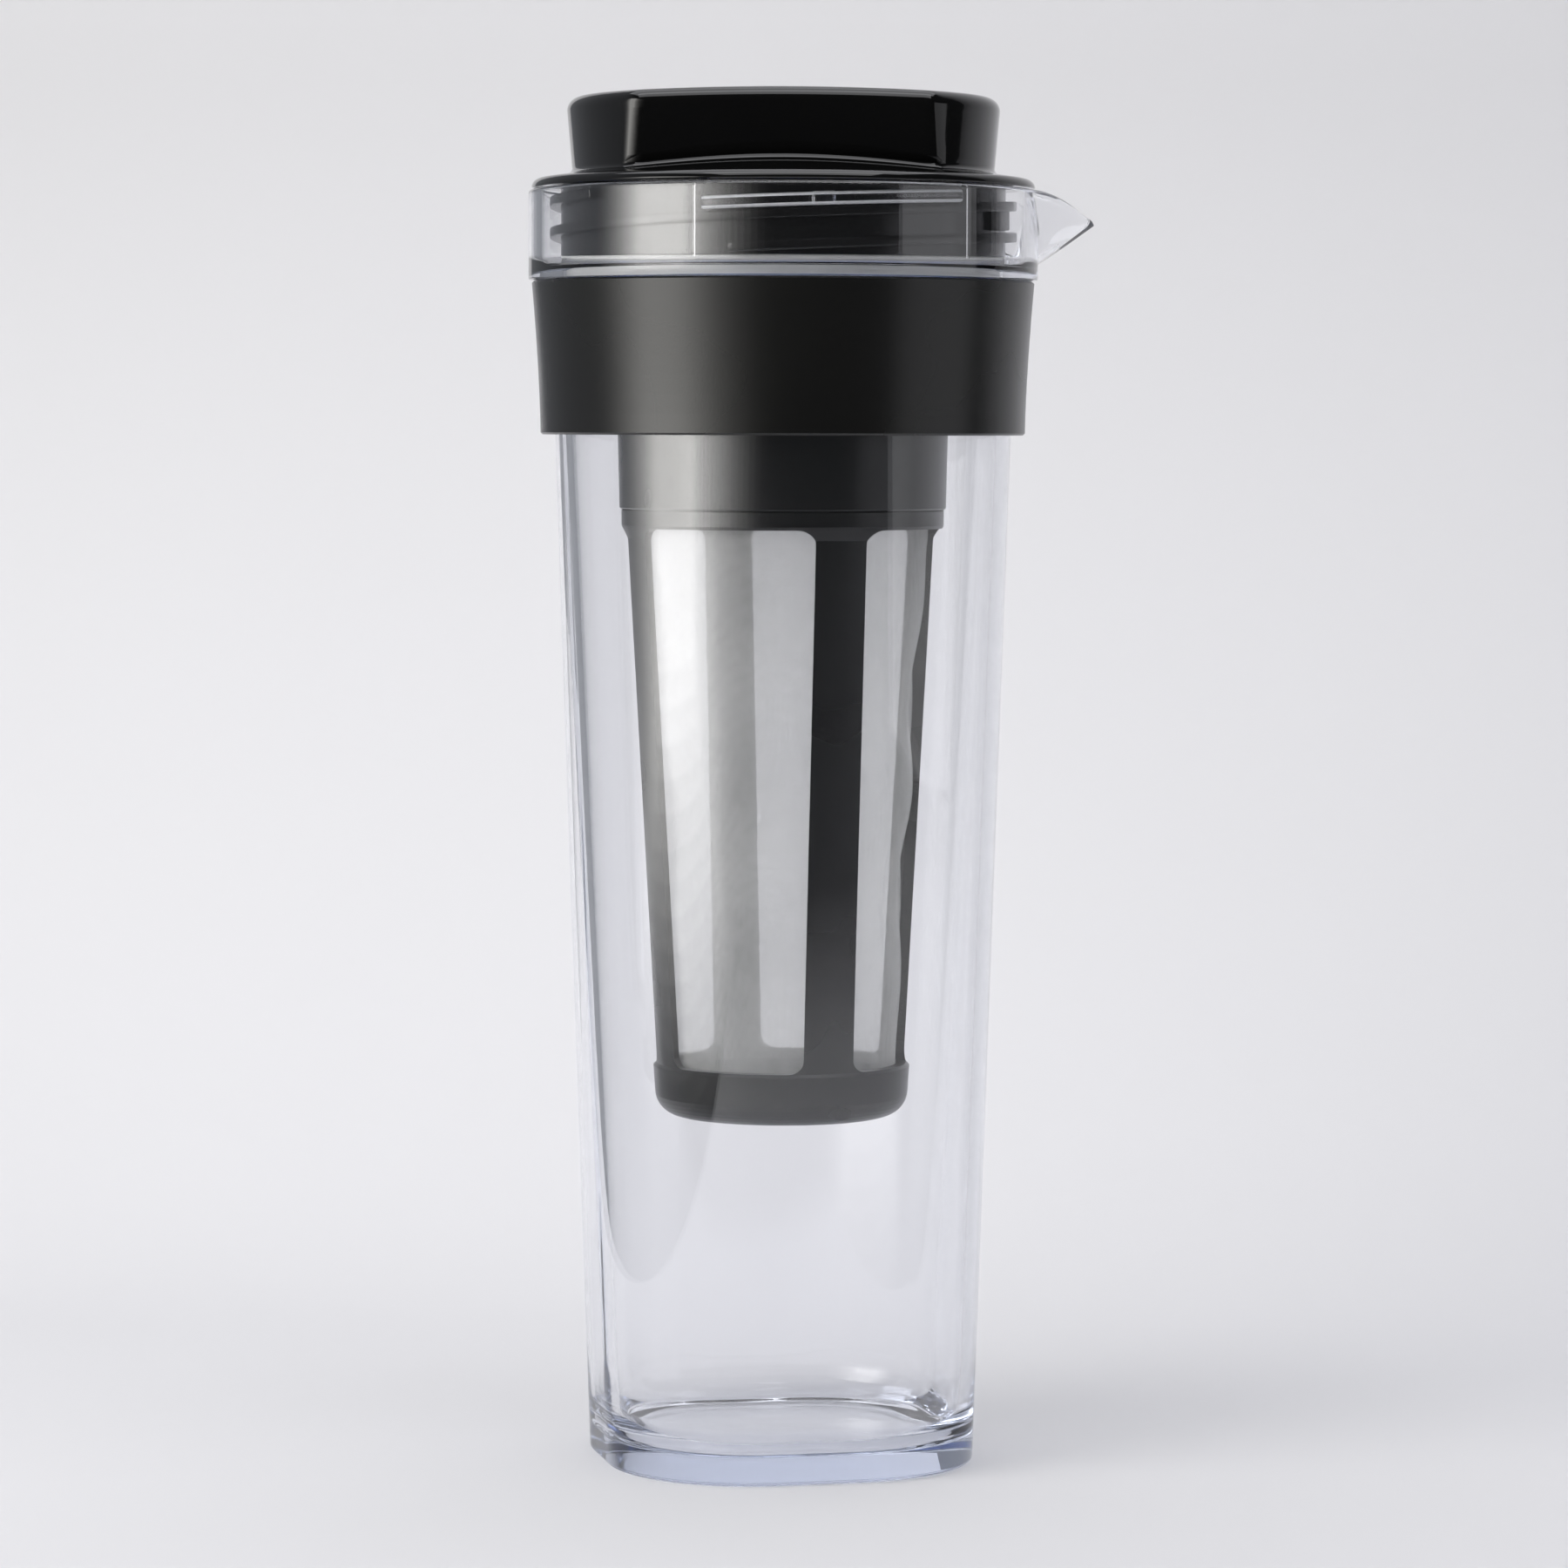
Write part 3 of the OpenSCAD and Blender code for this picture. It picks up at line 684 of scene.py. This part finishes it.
def buildSweep():
    bm = bmesh.new()
    table = bmesh.ops.create_grid(bm, x_segments=1, y_segments=1, size=0.5)["verts"]
    wide = sweep["right"] - sweep["left"]
    deep = sweep["flat"] - sweep["front"]
    bmesh.ops.scale(bm, vec=(wide, deep, 1), verts=table)
    middle = ((sweep["right"] + sweep["left"]) / 2, (sweep["flat"] + sweep["front"]) / 2, 0)
    bmesh.ops.translate(bm, vec=middle, verts=table)
    back = sorted(table, key=lambda vert: vert.co.y)[2:]
    made = bmesh.ops.spin(bm, geom=back + [bm.edges.get(back)], axis=(1, 0, 0),
                          cent=(0, sweep["flat"], sweep["bend"]), angle=math.pi / 2,
                          steps=sweep["bendSteps"], use_merge=False, use_duplicate=False)["geom_last"]
    last = [g for g in made if isinstance(g, bmesh.types.BMEdge)]
    made = bmesh.ops.extrude_edge_only(bm, edges=last)["geom"]
    verts = [g for g in made if isinstance(g, bmesh.types.BMVert)]
    bmesh.ops.translate(bm, vec=(0, 0, sweep["height"]), verts=verts)
    bmesh.ops.rotate(bm, cent=(0, 0, 0), matrix=Matrix.Rotation(facing, 3, "Z"), verts=bm.verts)
    bmesh.ops.translate(bm, vec=(0, 0, -sweep["air"]), verts=bm.verts)
    bmesh.ops.recalc_face_normals(bm, faces=bm.faces)
    if sum(face.normal.z for face in bm.faces) < 0:  # the paper's front faces up and towards the jug
        bmesh.ops.reverse_faces(bm, faces=bm.faces)
    mesh = bpy.data.meshes.new("sweep")
    bm.to_mesh(mesh)
    bm.free()
    for face in mesh.polygons:
        face.use_smooth = True
    material, wire = newMaterial("paper")
    where = wire.add("ShaderNodeTexCoord", {}, {}, "Object")
    fibre = noise(wire, where, sweep["fibreScale"], 3.0)
    x = wire.add("ShaderNodeSeparateXYZ", {}, {"Vector": where}, "X")
    y = Wire(wire.tree, x.socket.node.outputs["Y"])
    # The paper's colour runs to near black towards the table's front edge: painted shade standing in for
    # light falling off in front of the jug.
    ahead = y * math.cos(facing) - x * math.sin(facing)
    front = wire.math("ADD", (ahead - sweep["frontEdge"]) / sweep["frontFade"], 1.0, True)
    shade = wire.add("ShaderNodeMix", {"data_type": "RGBA"},
                     {"Factor": front, "A": sweep["frontShadeColour"], "B": sweep["colour"]}, "Result")
    shader = wire.add("ShaderNodeBsdfPrincipled", {}, {
        "Base Color": shade,
        "Roughness": sweep["rough"] + fibre * sweep["fibre"],
        "Specular IOR Level": sweep["shine"],
    })
    clear = wire.add("ShaderNodeBsdfTransparent", {}, {})
    behind = wire.add("ShaderNodeNewGeometry", {}, {}, "Backfacing")  # the paper is open from behind
    closeMaterial(wire, wire.add("ShaderNodeMixShader", {}, {0: behind, 1: shader, 2: clear}))
    mesh.materials.append(material)
    floor = bpy.data.objects.new("sweep", mesh)
    bpy.context.scene.collection.objects.link(floor)


buildSweep()


def areaLight(name, lamp):
    data = bpy.data.lights.new(name, "AREA")
    data.shape = "RECTANGLE"
    data.size = lamp["width"]
    data.size_y = lamp["height"]
    data.energy = lamp["power"]
    data.color = lamp["colour"]
    light = bpy.data.objects.new(name, data)
    light.location = aroundShot(*lamp["place"])
    light.rotation_euler = (lamp["aim"] - light.location).to_track_quat("-Z", "Y").to_euler()
    light.visible_camera = False
    bpy.context.scene.collection.objects.link(light)


lamps = {
    "fill": {"place": (74, 1.0, 0.2), "aim": Vector((0, 0, 0.2)), "width": 0.75, "height": 0.34,
             "power": 0.5, "colour": (0.97, 0.97, 1.0)},
    "above": {"place": (180, 0.14, 1.15), "aim": Vector((0.03, 0.1, 0.02)), "width": 1.2, "height": 0.9,
              "power": 6.5, "colour": (0.96, 0.965, 1.0)},
    "overhead": {"place": (10, 0.45, 1.3), "aim": aroundShot(180, 0.3, 0.3), "width": 1.2, "height": 0.8,
                 "power": 6.6, "colour": (0.97, 0.975, 1.0)},
}

# The softbox fades towards its ends and its foot: nested panels that grow while their glow falls.
softbox = {"panels": 16, "distance": 1.0, "top": 0.85, "aim": 0.2, "glow": 0.593, "spacing": 0.01,
           "lowNear": 0.05, "lowFar": -0.16, "leftNear": -68, "leftFar": -92, "rightNear": -44,
           "rightFar": -8, "rightPower": 1.3, "colour": (1.0, 0.985, 0.95)}
for i in range(softbox["panels"]):
    share = i / (softbox["panels"] - 1)
    leftSide = mix(softbox["leftNear"], softbox["leftFar"], share)
    rightSide = mix(softbox["rightNear"], softbox["rightFar"], share ** softbox["rightPower"])
    low = mix(softbox["lowNear"], softbox["lowFar"], share)
    tall = softbox["top"] - low
    distance = softbox["distance"] + softbox["spacing"] * i
    wide = 2 * distance * math.tan(math.radians(rightSide - leftSide) / 2)
    power = math.pi * softbox["glow"] * (1 - i / softbox["panels"]) * wide * tall
    lamps["softbox" + str(i)] = {"place": ((leftSide + rightSide) / 2, distance, low + tall / 2),
                                 "aim": Vector((0, 0, softbox["aim"])), "width": wide, "height": tall,
                                 "power": power, "colour": softbox["colour"]}
for lampName, lamp in lamps.items():
    areaLight(lampName, lamp)


# The room is dark in front and pale slate behind the jug's left.
room = {"colour": (0.9, 0.93, 1.0, 1), "dark": 0.045, "pale": 0.28, "bearing": -125.0, "start": 0.25,
        "reach": 0.45}


def buildWorld():
    world = bpy.data.worlds.new("room")
    world.use_nodes = True
    world.node_tree.nodes.clear()
    wire = Wire(world.node_tree)
    way = wire.add("ShaderNodeTexCoord", {}, {}, "Generated")
    pale = aroundShot(room["bearing"], 1, 0)
    near = wire.add("ShaderNodeVectorMath", {"operation": "DOT_PRODUCT"}, {0: way, 1: pale}, "Value")
    share = wire.math("MULTIPLY", near - room["start"], 1 / room["reach"], True)
    glow = room["dark"] + share * (room["pale"] - room["dark"])
    shader = wire.add("ShaderNodeBackground", {}, {"Color": room["colour"], "Strength": glow})
    wire.add("ShaderNodeOutputWorld", {}, {"Surface": shader})
    bpy.context.scene.world = world


buildWorld()
bpy.context.scene.view_settings.view_transform = "Standard"
# Light runs a long way inside the clear walls and the thick base before it comes out.
lightPaths = {"max_bounces": 40, "transmission_bounces": 40, "glossy_bounces": 24,
              "transparent_max_bounces": 32}
for pathKind, count in lightPaths.items():
    setattr(bpy.context.scene.cycles, pathKind, count)
print("stage and lights made")
